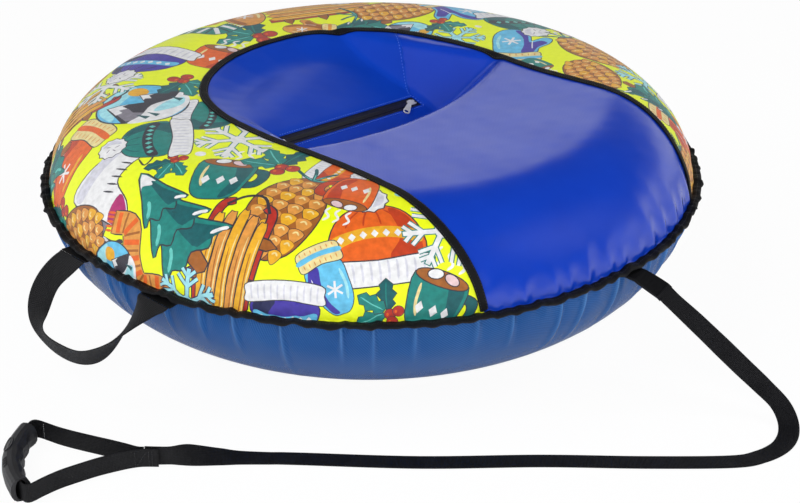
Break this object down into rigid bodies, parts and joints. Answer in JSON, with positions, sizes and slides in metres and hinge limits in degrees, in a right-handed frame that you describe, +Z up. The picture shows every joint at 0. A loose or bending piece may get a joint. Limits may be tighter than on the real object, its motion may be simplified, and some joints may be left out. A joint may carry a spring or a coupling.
{
  "type": "snow tube",
  "caption": "Inflatable snow tube: an inner tube in a sewn two-sided cover with a zipped seat, webbing carry handles and a tow strap with a hand grip.",
  "frame": {"origin": "on the floor, under the middle of the flat bottom", "axes": "+Z up from the floor; the tow strap's front run lies on the -Y side, and the strap leaves the rim towards +X"},
  "size_m": [0.9423, 0.9694, 0.2721],
  "materials": {
    "bottom_cover": "satin coated cloth",
    "printed_panel": "smooth printed coated cloth",
    "zip_panel": "gloss coated cloth",
    "seat_panel": "gloss coated cloth",
    "rim_binding": "woven tape",
    "seat_seam_binding": "woven tape",
    "zip_tape_front": "woven tape",
    "zip_tape_back": "woven tape",
    "zip_coil_front": "satin",
    "zip_coil_back": "satin",
    "zip_top_stop_front": "satin nickel",
    "zip_top_stop_back": "satin nickel",
    "zip_bottom_stop": "satin nickel",
    "zip_slider": "satin nickel",
    "zip_puller": "satin nickel",
    "inner_tube": "matte",
    "valve_patch": "matte",
    "valve_stem": "matte",
    "valve_core": "plain",
    "valve_pin": "plain",
    "valve_cap": "matte",
    "handle_left": "ribbed webbing",
    "handle_left_tab_right": "ribbed webbing",
    "handle_left_tab_left": "ribbed webbing",
    "handle_right": "ribbed webbing",
    "handle_right_tab_right": "ribbed webbing",
    "handle_right_tab_left": "ribbed webbing",
    "tow_anchor": "webbing",
    "tow_strap": "webbing",
    "tow_loop": "webbing",
    "hand_grip": "fine grain"
  },
  "bodies": {
    "cover": {"bottom_cover": "bottom_cover", "printed_panel": "printed_panel", "zip_panel": "zip_panel", "seat_panel": "seat_panel", "rim_binding": "rim_binding", "seat_seam_binding": "seat_seam_binding", "zip_tape_front": "zip_tape_front", "zip_tape_back": "zip_tape_back", "zip_coil_front": "zip_coil_front", "zip_coil_back": "zip_coil_back", "zip_top_stop_front": "zip_top_stop_front", "zip_top_stop_back": "zip_top_stop_back", "zip_bottom_stop": "zip_bottom_stop", "inner_tube": "inner_tube", "valve_patch": "valve_patch", "valve_stem": "valve_stem", "valve_core": "valve_core", "handle_left_tab_right": "handle_left_tab_right", "handle_left_tab_left": "handle_left_tab_left", "handle_right_tab_right": "handle_right_tab_right", "handle_right_tab_left": "handle_right_tab_left", "tow_anchor": "tow_anchor", "tow_strap": "tow_strap", "tow_loop": "tow_loop", "hand_grip": "hand_grip"},
    "slider": {"zip_slider": "zip_slider"},
    "puller": {"zip_puller": "zip_puller"},
    "cap": {"valve_cap": "valve_cap"},
    "pin": {"valve_pin": "valve_pin"},
    "left_handle": {"handle_left": "handle_left"},
    "right_handle": {"handle_right": "handle_right"}
  },
  "joints": [
    {"name": "zip_slide", "type": "slide", "parent": "cover", "child": "slider", "axis": [-0.6196, -0.7733, 0.1344], "range_m": [0, 0.226], "deforming": ["zip_coil_front", "zip_coil_back"]},
    {"name": "puller_hinge", "type": "hinge", "parent": "slider", "child": "puller", "pos_m": [0.05154, 0.09915, 0.21215], "axis": [-0.9113, 0.1502, 0.3834], "range_deg": [0, 80]},
    {"name": "valve_cap_pull", "type": "slide", "parent": "cover", "child": "cap", "axis": [0.342, -0.9397, 0], "range_m": [0, 0.012]},
    {"name": "valve_pin_press", "type": "slide", "parent": "cover", "child": "pin", "axis": [-0.342, 0.9397, 0], "range_m": [0, 0.0008], "stiffness_N_per_m": 300, "springref_m": -0.001},
    {"name": "left_handle_swing", "type": "hinge", "parent": "cover", "child": "left_handle", "pos_m": [-0.30305, -0.30305, 0.15965], "axis": [0.7071, -0.7071, 0], "range_deg": [-150, 20]},
    {"name": "right_handle_swing", "type": "hinge", "parent": "cover", "child": "right_handle", "pos_m": [0.30305, 0.30305, 0.15965], "axis": [-0.7071, 0.7071, 0], "range_deg": [-165, 6]}
  ]
}
